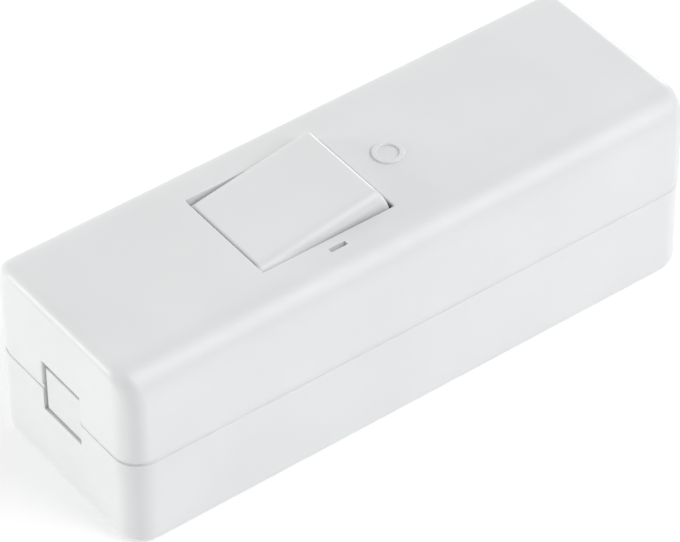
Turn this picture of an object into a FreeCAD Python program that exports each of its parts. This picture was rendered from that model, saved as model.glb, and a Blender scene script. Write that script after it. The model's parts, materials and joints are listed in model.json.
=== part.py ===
import FreeCAD, Part
import os
import re
import Sketcher

doc = FreeCAD.newDocument("CordSwitch")
sheet = doc.addObject("Spreadsheet::Sheet", "Sizes")

# Sizes in millimetres, angles in degrees.
sizes = {
    # How far a cutting shape runs past the face it cuts
    "cutOver": 1.0,
    # Housing
    "bodyLength": 76.0,
    "bodyWidth": 26.0,
    "bodyHeight": 24.5,
    "partingHeight": 12.3,
    "wallThickness": 1.8,
    "floorThickness": 2.0,
    "cornerRadius": 3.2,
    "topSideRadius": 3.9,
    "topEndRadius": 1.4,
    "bottomRadius": 1.2,
    "seamHeight": 0.5,
    "seamDepth": 0.16,
    "tongueHeight": 1.2,
    "tongueThickness": 0.7,
    "tongueClearance": 0.1,
    # Rocker, measured from its pivot
    "pivotAlong": -7.7,
    "pivotDepth": 3.3,
    "restTilt": 8.85,
    "rockerRadius": 9.0,
    "rockerTop": 4.5,
    "rockerSkirt": 2.2,
    "rockerWidth": 13.8,
    "rockerWall": 1.4,
    "rockerRoof": 1.5,
    "rockerSideRadius": 1.6,
    "rockerEndRadius": 0.5,
    "rockerGap": 0.33,
    "trunnionRadius": 1.1,
    "trunnionLength": 1.8,
    "trunnionClearance": 0.05,
    "trunnionEndGap": 0.2,
    "snapSlotWidth": 2.0,
    "cheekThickness": 2.7,
    "cheekDrop": 2.6,
    # Ring mark on the top
    "markAlong": 5.6,
    "markRadius": 1.85,
    "markStroke": 0.6,
    "markHeight": 0.25,
    # Dash-shaped recess beside the rocker
    "dashLength": 2.2,
    "dashWidth": 0.6,
    "dashDepth": 1.0,
    "dashLand": 1.2,
    # Sprung plungers
    "poleOffset": 3.5,
    "plungerRadius": 1.35,
    "plungerClearance": 0.05,
    "plungerLength": 5.6,
    "tipReach": 10.6,
    "tipGap": 0.05,
    "sleeveWall": 0.7,
    "sleeveReach": 8.3,
    "boreTop": 1.5,
    "stemRadius": 0.6,
    "stemLength": 2.0,
    "springWire": 0.4,
    "springRadius": 1.05,
    "springPitch": 1.5,
    # Tipping contacts
    "seesawTilt": 10.0,
    "seesawThickness": 1.0,
    "seesawWidth": 3.2,
    "seesawHalf": 3.2,
    "contactArm": 6.8,
    "stopArm": 2.6,
    "fulcrumRadius": 0.5,
    "fulcrumClearance": 0.05,
    "contactReach": 5.3,
    "contactRadius": 1.3,
    "contactThickness": 0.5,
    "contactGap": 0.04,
    # Terminals
    "stripThickness": 1.0,
    "stripRoot": 1.0,
    "bendRadius": 0.3,
    "terminalLength": 6.0,
    "terminalHeight": 7.0,
    "terminalBossGap": 0.2,
    "terminalWallGap": 2.1,
    "feedReach": 11.8,
    "loadReach": 17.2,
    "wireHoleRadius": 1.5,
    "wireHoleHeight": 2.6,
    "fenceThickness": 1.0,
    "fenceHeight": 3.0,
    "barrierThickness": 1.2,
    "barrierHeight": 5.0,
    # Screws
    "smallScrewRadius": 1.25,
    "smallHeadRadius": 2.0,
    "smallHeadHeight": 1.4,
    "terminalScrewLength": 3.6,
    "clampScrewLength": 7.0,
    "housingScrewRadius": 1.4,
    "housingHeadRadius": 2.5,
    "housingHeadHeight": 1.8,
    "housingScrewLength": 13.5,
    "screwSlotWidth": 0.6,
    "screwSlotDepth": 0.7,
    "screwClearance": 0.05,
    "headClearance": 0.2,
    "headRecess": 4.8,
    "screwTipRoom": 0.5,
    "bossInset": 14.4,
    "bossWall": 0.8,
    "upperBossWall": 1.5,
    # Cord entries, blanking plates and clamps
    "entryWidth": 7.0,
    "entryHeight": 7.0,
    "plateRecess": 0.3,
    "plateGap": 0.5,
    "plateTopGap": 0.9,
    "plateFlange": 1.2,
    "plateThickness": 1.2,
    "plateClearance": 0.05,
    "guideThickness": 1.0,
    "guideLip": 0.6,
    "cordRadius": 3.5,
    "clampInset": 7.2,
    "clampWidth": 4.4,
    "clampThickness": 2.4,
    "clampArch": 1.2,
    "clampScrewOffset": 6.6,
    "clampBossRadius": 2.4,
    "clampSeat": 10.3,
    "saddleThickness": 2.0,
    "saddleHeight": 8.3,
}
for row, (alias, value) in enumerate(sizes.items(), 1):
    sheet.set(f"A{row}", alias)
    sheet.set(f"B{row}", str(value))
    sheet.setAlias(f"B{row}", alias)
doc.recompute()

# Places worked out from the sizes.
half_length = "bodyLength / 2"
half_width = "bodyWidth / 2"
inner_length = "(bodyLength / 2 - wallThickness)"
inner_width = "(bodyWidth / 2 - wallThickness)"
pivot_height = "(bodyHeight - pivotDepth)"
blade_height = "(bodyHeight - pivotDepth - tipReach - tipGap - seesawThickness)"
tilt_sine = "sin(seesawTilt * 1deg)"
tilt_cosine = "cos(seesawTilt * 1deg)"
arm_height = f"({blade_height} - seesawHalf * {tilt_sine})"
contact_along = f"(pivotAlong + seesawHalf * {tilt_cosine} + contactReach)"
feed_along = "(pivotAlong - feedReach)"
load_along = "(pivotAlong + loadReach)"
boss_radius = "(housingHeadRadius + headClearance + bossWall)"
terminal_inner = f"({boss_radius} + terminalBossGap)"
terminal_outer = f"({inner_width} - terminalWallGap)"
terminal_across = f"(({terminal_inner} + {terminal_outer}) / 2)"
strip_top = "(floorThickness + stripThickness)"
pad_top = f"({arm_height} - 2 * contactThickness - contactGap)"
boss_along = "(bodyLength / 2 - bossInset)"
clamp_along = "(bodyLength / 2 - clampInset)"
plate_front = "(bodyLength / 2 - wallThickness - plateClearance)"
plate_back = "(bodyLength / 2 - wallThickness - plateClearance - plateThickness)"
guide_front = "(bodyLength / 2 - wallThickness - 2 * plateClearance - plateThickness)"
plate_half = "(entryWidth / 2 + plateFlange)"
entry_low = "(partingHeight - entryHeight / 2)"
entry_high = "(partingHeight + entryHeight / 2)"
# Cuts through the parting face run past it, and ribs start inside the floor or wall they grow from.
past_parting = "(partingHeight + cutOver)"
short_of_parting = "(partingHeight - cutOver)"
floor_root = "(floorThickness / 2)"
side_root = "(bodyWidth / 2 - wallThickness / 2)"
end_root = "(bodyLength / 2 - wallThickness / 2)"


def full_name(word):
    return "Sizes." + word.group() if word.group() in sizes else word.group()


# An expression's text with the sheet's name before each size.
def spell(text):
    return re.sub(r"[A-Za-z]\w*", full_name, text)


def bind(item, prop, text):
    item.setExpression(prop, spell(text))


def minus(text):
    return f"-({text})"


# A range along Y on the back side of the part, or its mirror image in front.
def across(side, low, high):
    return (low, high) if side > 0 else (minus(high), minus(low))


# A range along X at the far end of the part, or its mirror image at the near end.
along = across


def box(name, x, y, z):
    item = doc.addObject("Part::Box", name)
    for (low, high), size, axis in zip((x, y, z), ("Length", "Width", "Height"), "xyz"):
        bind(item, size, f"({high}) - ({low})")
        bind(item, f"Placement.Base.{axis}", low)
    return item


def both(text):
    return (minus(text), text)


rod_turns = {
    "x": FreeCAD.Rotation(FreeCAD.Vector(0, 1, 0), 90),
    "y": FreeCAD.Rotation(FreeCAD.Vector(1, 0, 0), -90),
    "z": FreeCAD.Rotation(),
}


def rod(name, axis, radius, start, length):
    item = doc.addObject("Part::Cylinder", name)
    item.Placement = FreeCAD.Placement(FreeCAD.Vector(), rod_turns[axis])
    bind(item, "Radius", radius)
    bind(item, "Height", length)
    for letter, text in zip("xyz", start):
        bind(item, f"Placement.Base.{letter}", text)
    return item


def fuse(name, items):
    item = doc.addObject("Part::MultiFuse", name)
    item.Shapes = items
    item.Refine = True
    return item


def cut(name, base, tools):
    item = doc.addObject("Part::Cut", name)
    item.Base = base
    item.Tool = tools[0] if len(tools) == 1 else fuse(name + "Tools", tools)
    item.Refine = True
    return item


def group(name, items):
    item = doc.addObject("Part::Compound", name)
    item.Links = items
    return item


# Rounds the edges for which radii() gives a pair of end radii.
def rounded(name, base, radii):
    doc.recompute()
    item = doc.addObject("Part::Fillet", name)
    item.Base = base
    chosen = [(number, radii(edge)) for number, edge in enumerate(base.Shape.Edges, 1)]
    item.Edges = [(number, *pair) for number, pair in chosen if pair]
    doc.recompute()
    return item


def is_upright(edge):
    return edge.BoundBox.ZLength > 1 and edge.BoundBox.XLength + edge.BoundBox.YLength < 1e-6


def round_uprights(name, base, radius):
    return rounded(name, base, lambda edge: (radius, radius) if is_upright(edge) else None)


def place(item, x, y, z, angle):
    item.Placement = FreeCAD.Placement(FreeCAD.Vector(), FreeCAD.Rotation(FreeCAD.Vector(0, 1, 0), 1))
    bind(item, "Placement.Rotation.Angle", angle)
    bind(item, "Placement.Base.x", x)
    bind(item, "Placement.Base.y", y)
    bind(item, "Placement.Base.z", z)


def make_body(name):
    return doc.addObject("PartDesign::Body", name)


def sketch_on(body, name, role):
    sketch = body.newObject("Sketcher::SketchObject", body.Name + name)
    plane = [item for item in body.Origin.OriginFeatures if item.Role == role][0]
    sketch.AttachmentSupport = [(plane, "")]
    sketch.MapMode = "FlatFace"
    return sketch


def dimension(sketch, label, kind, *where_and_text):
    *where, text = where_and_text
    start = sheet_value(text)
    number = sketch.addConstraint(Sketcher.Constraint(kind, *where, start))
    sketch.renameConstraint(number, label)
    bind(sketch, f"Constraints.{label}", text)


# The present value of an expression.
def sheet_value(text):
    return float(sheet.evalExpression(spell(text)))


# A closed outline of straight lines; each corner is bound to its own place.
def draw_corners(sketch, corners):
    spots = [FreeCAD.Vector(sheet_value(x), sheet_value(y), 0) for x, y in corners]
    count = len(corners)
    for index in range(count):
        sketch.addGeometry(Part.LineSegment(spots[index], spots[(index + 1) % count]), False)
    for index in range(count):
        sketch.addConstraint(Sketcher.Constraint("Coincident", index, 2, (index + 1) % count, 1))
    for index, (x, y) in enumerate(corners):
        dimension(sketch, f"x{index}", "DistanceX", -1, 1, index, 1, x)
        dimension(sketch, f"y{index}", "DistanceY", -1, 1, index, 1, y)


def draw_circles(sketch, radius, centres):
    for index, (x, y) in enumerate(centres):
        spot = FreeCAD.Vector(sheet_value(x), sheet_value(y), 0)
        circle = Part.Circle(spot, FreeCAD.Vector(0, 0, 1), sheet_value(radius))
        sketch.addGeometry(circle, False)
        dimension(sketch, f"r{index}", "Radius", index, radius)
        dimension(sketch, f"x{index}", "DistanceX", -1, 1, index, 3, x)
        dimension(sketch, f"y{index}", "DistanceY", -1, 1, index, 3, y)


# The side view of a drum about the pivot, cut flat above and below.
def draw_drum(sketch, radius, top, bottom):
    reach = sheet_value(radius)
    high = sheet_value(top)
    low = sheet_value(bottom)
    wide_high = (reach ** 2 - high ** 2) ** 0.5
    wide_low = (reach ** 2 - low ** 2) ** 0.5
    spots = [
        FreeCAD.Vector(-wide_high, high, 0),
        FreeCAD.Vector(wide_high, high, 0),
        FreeCAD.Vector(wide_low, low, 0),
        FreeCAD.Vector(-wide_low, low, 0),
    ]
    middles = [FreeCAD.Vector(side * reach, 0, 0) for side in (1, -1)]
    sketch.addGeometry(Part.LineSegment(spots[0], spots[1]), False)
    sketch.addGeometry(Part.Arc(spots[1], middles[0], spots[2]), False)
    sketch.addGeometry(Part.LineSegment(spots[2], spots[3]), False)
    sketch.addGeometry(Part.Arc(spots[3], middles[1], spots[0]), False)
    # An arc runs anticlockwise here, so both arcs start where the next line ends.
    sketch.addConstraint(Sketcher.Constraint("Coincident", 0, 2, 1, 2))
    sketch.addConstraint(Sketcher.Constraint("Coincident", 2, 1, 1, 1))
    sketch.addConstraint(Sketcher.Constraint("Coincident", 2, 2, 3, 2))
    sketch.addConstraint(Sketcher.Constraint("Coincident", 0, 1, 3, 1))
    for arc in (1, 3):
        sketch.addConstraint(Sketcher.Constraint("Coincident", arc, 3, -1, 1))
        dimension(sketch, f"radius{arc}", "Radius", arc, radius)
    for line, text in ((0, top), (2, bottom)):
        sketch.addConstraint(Sketcher.Constraint("Horizontal", line))
        dimension(sketch, f"height{line}", "DistanceY", -1, 1, line, 1, text)


def feature(body, kind, name, sketch, length, side="One side"):
    item = body.newObject("PartDesign::" + kind, body.Name + name)
    item.Profile = sketch
    item.SideType = side
    bind(item, "Length", length)
    doc.recompute()
    return item


def round_body(body, name, radius, wanted):
    item = body.newObject("PartDesign::Fillet", body.Name + name)
    source = item.BaseFeature
    names = [f"Edge{number}" for number, edge in enumerate(source.Shape.Edges, 1) if wanted(edge)]
    item.Base = (source, names)
    bind(item, "Radius", radius)
    doc.recompute()
    return item


def half_box(name, low, high):
    return box(name, both(half_length), both(half_width), (low, high))


def make_upper_shell():
    side_radius = sizes["topSideRadius"]
    corner = sizes["cornerRadius"]
    end_radius = sizes["topEndRadius"]
    wall = sizes["wallThickness"]
    top = sizes["bodyHeight"]

    def is_top_side(edge, height):
        return edge.BoundBox.XLength > 1 and edge.BoundBox.ZMin > height - 1e-3

    # Round the ends: wide at the corners, tighter along the top edge, blended over the shoulders.
    def end_radii(edge):
        bounds = edge.BoundBox
        if bounds.XLength > 1e-6 or bounds.ZMax < sizes["partingHeight"] + 1e-3:
            return None
        if bounds.YLength < 1e-6:
            return (corner, corner)
        if bounds.ZLength < 1e-6:
            return (end_radius, end_radius)
        starts_low = edge.valueAt(edge.FirstParameter).z < top - 1e-3
        runs_forward = edge.Orientation == "Forward"
        return (corner, end_radius) if starts_low == runs_forward else (end_radius, corner)

    block = half_box("upperBlock", "partingHeight", "bodyHeight")
    shoulders = rounded(
        "upperShoulders", block,
        lambda edge: (side_radius, side_radius) if is_top_side(edge, top) else None)
    outside = rounded("upperOutside", shoulders, end_radii)

    room = box("upperRoom", both(inner_length), both(inner_width),
               (short_of_parting, "bodyHeight - wallThickness"))
    room_sides = rounded(
        "upperRoomSides", room,
        lambda edge: (side_radius - wall,) * 2 if is_top_side(edge, top - wall) else None)
    hollow = round_uprights("upperHollow", room_sides, corner - wall)
    shell = cut("upperHollowed", outside, [hollow])

    inside = []
    for side, end in ((-1, "Front"), (1, "Back")):
        low = "rockerWidth / 2 + rockerGap"
        inside.append(box(
            "cheek" + end, ("pivotAlong - rockerRadius - rockerGap", "pivotAlong + rockerRadius + rockerGap"),
            across(side, low, f"{low} + cheekThickness"),
            (f"{pivot_height} - cheekDrop", "bodyHeight - wallThickness / 2")))
    for side, end in ((-1, "Near"), (1, "Far")):
        centre = f"{side} * {boss_along}"
        inside.append(rod(
            "upperBoss" + end, "z", "housingScrewRadius + screwClearance + upperBossWall",
            (centre, "0", "partingHeight"), "bodyHeight - partingHeight - wallThickness / 2"))
        for across_side, name in ((-1, "Front"), (1, "Back")):
            inside += guide("upperGuide" + end + name, side, across_side,
                            ("partingHeight", "bodyHeight - wallThickness / 2"))
    ring_outer = rod("ringOuter", "z", "markRadius", ("markAlong", "0", "bodyHeight - wallThickness / 2"),
                     "markHeight + wallThickness / 2")
    ring_inner = rod("ringInner", "z", "markRadius - markStroke", ("markAlong", "0", "bodyHeight"),
                     "markHeight + cutOver")
    ring = cut("ringMark", ring_outer, [ring_inner])
    full = fuse("upperFull", [shell, ring] + inside)

    reach = "(rockerWidth / 2 + trunnionLength + trunnionEndGap)"
    dash_inner = "(rockerWidth / 2 + rockerGap + dashLand)"
    tools = [
        rod("rockerOpening", "y", "rockerRadius + rockerGap",
            ("pivotAlong", "-rockerWidth / 2 - rockerGap", pivot_height), "rockerWidth + 2 * rockerGap"),
        rod("trunnionBores", "y", "trunnionRadius + trunnionClearance",
            ("pivotAlong", minus(reach), pivot_height), f"2 * {reach}"),
        box("snapSlots", ("pivotAlong - snapSlotWidth / 2", "pivotAlong + snapSlotWidth / 2"),
            both(reach), (f"{pivot_height} - cheekDrop - cutOver", pivot_height)),
        box("dashRecess", ("pivotAlong - dashLength / 2", "pivotAlong + dashLength / 2"),
            across(-1, dash_inner, f"{dash_inner} + dashWidth"),
            ("bodyHeight - dashDepth", "bodyHeight + cutOver")),
    ]
    for side, end in ((-1, "Near"), (1, "Far")):
        tools.append(box("upperEntry" + end, along(side, guide_front, f"{half_length} + cutOver"),
                         both("entryWidth / 2"), (short_of_parting, entry_high)))
        tools.append(rod("upperPilot" + end, "z", "housingScrewRadius + screwClearance",
                         (f"{side} * {boss_along}", "0", short_of_parting),
                         "headRecess + housingScrewLength - partingHeight + cutOver + screwTipRoom"))
    for side, end in ((-1, "Front"), (1, "Back")):
        tools.append(box("rebate" + end, both("bodyLength / 2 - bossInset + tongueClearance"),
                         across(side, f"{inner_width} - cutOver",
                                f"{inner_width} + tongueThickness + tongueClearance"),
                         (short_of_parting, "partingHeight + tongueHeight + tongueClearance")))
    return cut("upper_shell", full, tools)


# An upright channel that holds one edge of a blanking plate.
def guide(name, end_side, side, height):
    back = f"({guide_front} - guideThickness)"
    edge = f"({plate_half} + plateClearance)"
    post = box(name + "Post", along(end_side, back, end_root),
               across(side, edge, f"{edge} + guideThickness"), height)
    lip = box(name + "Lip", along(end_side, back, guide_front),
              across(side, f"{plate_half} - guideLip", f"{plate_half} + guideThickness"), height)
    return [post, lip]


def make_lower_shell():
    corner = sizes["cornerRadius"]
    wall = sizes["wallThickness"]
    bottom = sizes["bottomRadius"]
    block = round_uprights("lowerBlockRounded", half_box("lowerBlock", "0", "partingHeight"), corner)
    outside = rounded("lowerOutside", block,
                      lambda edge: (bottom, bottom) if edge.BoundBox.ZMax < 1e-3 else None)
    room = box("lowerRoom", both(inner_length), both(inner_width), ("floorThickness", past_parting))
    hollow = round_uprights("lowerHollow", room, corner - wall)
    seam_core = box("seamCore", both(f"{half_length} - seamDepth"), both(f"{half_width} - seamDepth"),
                    ("partingHeight - seamHeight - cutOver", "partingHeight + 2 * cutOver"))
    seam_block = box("seamBlock", both(f"{half_length} + cutOver"), both(f"{half_width} + cutOver"),
                     ("partingHeight - seamHeight", past_parting))
    seam = cut("seamRing", seam_block,
               [round_uprights("seamCoreRounded", seam_core, corner - sizes["seamDepth"])])
    shell = cut("lowerHollowed", outside, [hollow, seam])

    inside = []
    for side, end in ((-1, "Front"), (1, "Back")):
        inside.append(box("tongue" + end, both("bodyLength / 2 - bossInset"),
                          across(side, inner_width, f"{inner_width} + tongueThickness"),
                          ("partingHeight - tongueHeight", "partingHeight + tongueHeight")))
        for row, way, middle in (("Feed", -1, feed_along), ("Load", 1, load_along)):
            start = f"({way} * {middle} + terminalLength / 2 + plateClearance)"
            inside.append(box("fence" + row + end, along(way, start, f"{start} + fenceThickness"),
                              across(side, terminal_inner, side_root),
                              (floor_root, "floorThickness + fenceHeight")))
    inside.append(box("barrier", ("pivotAlong - feedReach / 2", load_along), both("barrierThickness / 2"),
                      (floor_root, "floorThickness + barrierHeight")))
    for side, end in ((-1, "Near"), (1, "Far")):
        clamp = f"{side} * {clamp_along}"
        inside.append(rod("lowerBoss" + end, "z", boss_radius,
                          (f"{side} * {boss_along}", "0", floor_root),
                          f"partingHeight - {floor_root}"))
        inside.append(box("plateSill" + end, along(side, plate_back, end_root),
                          both(plate_half),
                          (floor_root, f"{entry_low} - plateFlange - plateClearance")))
        saddle = box("saddleBlock" + end,
                     (f"{clamp} - saddleThickness / 2", f"{clamp} + saddleThickness / 2"),
                     both("cordRadius"), (floor_root, "saddleHeight + cordRadius / 2"))
        trough = rod("saddleTrough" + end, "x", "cordRadius",
                     (f"{clamp} - saddleThickness", "0", "saddleHeight + cordRadius"), "2 * saddleThickness")
        inside.append(cut("saddle" + end, saddle, [trough]))
        for across_side, name in ((-1, "Front"), (1, "Back")):
            inside += guide("lowerGuide" + end + name, side, across_side, (floor_root, "partingHeight"))
            inside.append(rod("clampBoss" + end + name, "z", "clampBossRadius",
                              (clamp, f"{across_side} * clampScrewOffset", floor_root),
                              f"clampSeat - {floor_root}"))
    full = fuse("lowerFull", [shell] + inside)

    tools = []
    for side, end in ((-1, "Near"), (1, "Far")):
        boss = f"{side} * {boss_along}"
        tools.append(box("lowerEntry" + end, along(side, plate_front, f"{half_length} + cutOver"),
                         both("entryWidth / 2"), (entry_low, past_parting)))
        tools.append(rod("headRecess" + end, "z", "housingHeadRadius + headClearance",
                         (boss, "0", "-cutOver"), "headRecess + cutOver"))
        tools.append(rod("screwWay" + end, "z", "housingScrewRadius + screwClearance", (boss, "0", "0"),
                         past_parting))
        for across_side, name in ((-1, "Front"), (1, "Back")):
            start = "clampSeat + clampThickness - clampScrewLength - screwTipRoom"
            tools.append(rod("clampPilot" + end + name, "z", "smallScrewRadius + screwClearance",
                             (f"{side} * {clamp_along}", f"{across_side} * clampScrewOffset", start),
                             "clampScrewLength"))
    return cut("lower_shell", full, tools)


def make_rocker():
    body = make_body("rocker")
    outline = sketch_on(body, "Outline", "XZ_Plane")
    draw_drum(outline, "rockerRadius", "rockerTop", "-rockerSkirt")
    feature(body, "Pad", "Drum", outline, "rockerWidth", "Symmetric")
    top = sizes["rockerTop"] - 1e-3
    round_body(body, "Sides", "rockerSideRadius",
               lambda edge: edge.BoundBox.ZMin > top and edge.BoundBox.XLength > 1)
    round_body(body, "Ends", "rockerEndRadius",
               lambda edge: edge.BoundBox.ZMin > top and edge.BoundBox.XLength < 1e-3)

    hollow = sketch_on(body, "Hollow", "XZ_Plane")
    draw_drum(hollow, "rockerRadius - rockerWall", "rockerTop - rockerRoof", "-rockerSkirt - cutOver")
    feature(body, "Pocket", "HollowCut", hollow, "rockerWidth - 2 * rockerWall", "Symmetric")

    poles = [("0", "poleOffset"), ("0", "-poleOffset")]
    sleeves = sketch_on(body, "Sleeves", "XY_Plane")
    bind(sleeves, "AttachmentOffset.Base.z", "-sleeveReach")
    draw_circles(sleeves, "plungerRadius + plungerClearance + sleeveWall", poles)
    feature(body, "Pad", "SleevePad", sleeves, "sleeveReach + rockerTop - rockerRoof / 2")
    bores = sketch_on(body, "Bores", "XY_Plane")
    bind(bores, "AttachmentOffset.Base.z", "boreTop")
    draw_circles(bores, "plungerRadius + plungerClearance", poles)
    feature(body, "Pocket", "BoreCut", bores, "sleeveReach + boreTop + cutOver")

    trunnion = sketch_on(body, "Trunnion", "XZ_Plane")
    bind(trunnion, "AttachmentOffset.Base.z", "rockerWidth / 2 - rockerWall / 2")
    draw_circles(trunnion, "trunnionRadius", [("0", "0")])
    pad = feature(body, "Pad", "TrunnionPad", trunnion, "trunnionLength + rockerWall / 2")
    mirrored = body.newObject("PartDesign::Mirrored", "rockerTrunnions")
    mirrored.Originals = [pad]
    mirrored.MirrorPlane = ([item for item in body.Origin.OriginFeatures if item.Role == "XZ_Plane"][0], [""])
    body.Tip = mirrored
    place(body, "pivotAlong", "0", pivot_height, "-restTilt")
    return body


def make_plunger(name, side):
    body = make_body(name)
    outline = sketch_on(body, "Outline", "XZ_Plane")
    shoulder = "(plungerLength - tipReach)"
    radius = sizes["plungerRadius"]
    tip = -sizes["tipReach"]
    stem_top = f"{shoulder} + stemLength"
    corners = [
        ("plungerRadius", "plungerRadius - tipReach"),
        ("plungerRadius", shoulder),
        ("stemRadius", shoulder),
        ("stemRadius", stem_top),
        ("0", stem_top),
        ("0", "-tipReach"),
    ]
    spots = [FreeCAD.Vector(sheet_value(x), sheet_value(y), 0) for x, y in corners]
    for start, end in zip(spots, spots[1:]):
        outline.addGeometry(Part.LineSegment(start, end), False)
    slant = radius * 0.5 ** 0.5
    outline.addGeometry(Part.Arc(spots[-1], FreeCAD.Vector(slant, tip + radius - slant, 0), spots[0]), False)
    for index in range(4):
        outline.addConstraint(Sketcher.Constraint("Coincident", index, 2, index + 1, 1))
    outline.addConstraint(Sketcher.Constraint("Coincident", 4, 2, 5, 1))
    outline.addConstraint(Sketcher.Constraint("Coincident", 0, 1, 5, 2))
    for index, (x, y) in enumerate(corners[:5]):
        dimension(outline, f"x{index}", "DistanceX", -1, 1, index, 1, x)
        dimension(outline, f"y{index}", "DistanceY", -1, 1, index, 1, y)
    dimension(outline, "tipAcross", "DistanceX", -1, 1, 4, 2, "0")
    dimension(outline, "tipBelow", "DistanceY", -1, 1, 4, 2, "-tipReach")
    dimension(outline, "tipRound", "Radius", 5, "plungerRadius")
    turned = body.newObject("PartDesign::Revolution", name + "Turned")
    turned.Profile = outline
    turned.ReferenceAxis = (outline, ["V_Axis"])
    turned.Angle = 360
    place(body, "pivotAlong", f"{side} * poleOffset", pivot_height, "-restTilt")
    return body


def make_spring(name, side):
    bottom = "(plungerLength - tipReach + springWire / 2 + plungerClearance)"
    helix = doc.addObject("Part::Helix", name + "Path")
    bind(helix, "Pitch", "springPitch")
    bind(helix, "Height", f"boreTop - springWire / 2 - plungerClearance - {bottom}")
    bind(helix, "Radius", "springRadius")
    bind(helix, "Placement.Base.z", bottom)
    # Eight flats stand for the round wire, which keeps the coil light.
    wire = doc.addObject("Part::RegularPolygon", name + "Wire")
    wire.Polygon = 8
    bind(wire, "Circumradius", "springWire / 2")
    wire.Placement = FreeCAD.Placement(FreeCAD.Vector(), FreeCAD.Rotation(FreeCAD.Vector(1, 0, 0), 90))
    bind(wire, "Placement.Base.x", "springRadius")
    bind(wire, "Placement.Base.z", bottom)
    doc.recompute()
    coil = doc.addObject("Part::Sweep", name)
    coil.Sections = [wire]
    coil.Spine = (helix, [f"Edge{number}" for number in range(1, len(helix.Shape.Edges) + 1)])
    coil.Solid = True
    coil.Frenet = True
    place(coil, "pivotAlong", f"{side} * poleOffset", pivot_height, "-restTilt")
    return coil


def make_seesaw(name, side):
    body = make_body(name)
    outline = sketch_on(body, "Outline", "XZ_Plane")
    crook = "seesawThickness * tan(seesawTilt * 0.5deg)"
    far_x, far_z = f"seesawHalf + contactArm * {tilt_cosine}", f"contactArm * {tilt_sine}"
    near_x, near_z = f"-seesawHalf - stopArm * {tilt_cosine}", f"stopArm * {tilt_sine}"
    draw_corners(outline, [
        ("-seesawHalf", "0"),
        ("seesawHalf", "0"),
        (far_x, far_z),
        (f"{far_x} - seesawThickness * {tilt_sine}", f"{far_z} + seesawThickness * {tilt_cosine}"),
        (f"seesawHalf - {crook}", "seesawThickness"),
        (f"{crook} - seesawHalf", "seesawThickness"),
        (f"{near_x} + seesawThickness * {tilt_sine}", f"{near_z} + seesawThickness * {tilt_cosine}"),
        (near_x, near_z),
    ])
    feature(body, "Pad", "Blade", outline, "seesawWidth", "Symmetric")
    notch = sketch_on(body, "Notch", "XZ_Plane")
    draw_circles(notch, "fulcrumRadius + fulcrumClearance", [("0", "0")])
    feature(body, "Pocket", "NotchCut", notch, "seesawWidth + cutOver", "Symmetric")
    place(body, "pivotAlong", f"{side} * poleOffset", blade_height, "seesawTilt")
    return body


def terminal_block(name, side, middle):
    centre = f"{side} * {terminal_across}"
    wire_height = "floorThickness + wireHoleHeight"
    solid = box(name + "Solid", (f"{middle} - terminalLength / 2", f"{middle} + terminalLength / 2"),
                across(side, terminal_inner, terminal_outer),
                ("floorThickness", "floorThickness + terminalHeight"))
    way = rod(name + "WireWay", "x", "wireHoleRadius", (f"{middle} - terminalLength", centre, wire_height),
              "2 * terminalLength")
    pilot = rod(name + "Pilot", "z", "smallScrewRadius + screwClearance", (middle, centre, wire_height),
                "terminalHeight")
    return cut(name + "Block", solid, [way, pilot])


# A strip bent to a side outline, in line with one pole's blade; outer and inner bends are corner numbers.
def bent_strip(name, side, corners, outer, inner):
    body = make_body(name + "Strip")
    outline = sketch_on(body, "Outline", "XZ_Plane")
    draw_corners(outline, corners)
    feature(body, "Pad", "Pad", outline, "seesawWidth", "Symmetric")
    spots = [(sheet_value(x), sheet_value(z)) for x, z in corners]
    outer_spots = [spots[number] for number in outer]
    inner_spots = [spots[number] for number in inner]
    round_body(body, "Outer", "bendRadius + stripThickness", lambda edge: runs_at(edge, outer_spots))
    round_body(body, "Inner", "bendRadius", lambda edge: runs_at(edge, inner_spots))
    bind(body, "Placement.Base.y", f"{side} * poleOffset")
    return body


# Whether an edge runs across the strip at one of the places.
def runs_at(edge, spots):
    middle = edge.BoundBox.Center
    near = [spot for spot in spots if abs(middle.x - spot[0]) + abs(middle.z - spot[1]) < 1e-3]
    return edge.BoundBox.XLength + edge.BoundBox.ZLength < 1e-3 and bool(near)


# The flat foot that joins a strip to its terminal block.
def strip_foot(name, side, start, end):
    return box(name + "Foot", (start, end), across(side, "poleOffset - seesawWidth / 2", terminal_across),
               ("floorThickness", strip_top))


def make_feed_terminal(name, side):
    end = f"({feed_along} + terminalLength / 2)"
    root = f"({end} - stripRoot)"
    near, far = "(pivotAlong - fulcrumRadius)", "(pivotAlong + fulcrumRadius)"
    stop = f"(pivotAlong - seesawHalf * {tilt_cosine} - stopArm)"
    stop_far = f"({stop} + stripThickness)"
    stop_top = f"({arm_height} - contactGap)"
    corners = [
        (root, "floorThickness"),
        (far, "floorThickness"),
        (far, blade_height),
        (near, blade_height),
        (near, strip_top),
        (stop_far, strip_top),
        (stop_far, stop_top),
        (stop, stop_top),
        (stop, strip_top),
        (root, strip_top),
    ]
    knife = rod(name + "Knife", "y", "fulcrumRadius",
                ("pivotAlong", f"{side} * poleOffset - seesawWidth / 2", blade_height), "seesawWidth")
    return fuse(name, [terminal_block(name, side, feed_along), strip_foot(name, side, root, end),
                       bent_strip(name, side, corners, [1], [4, 5, 8]), knife])


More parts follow.
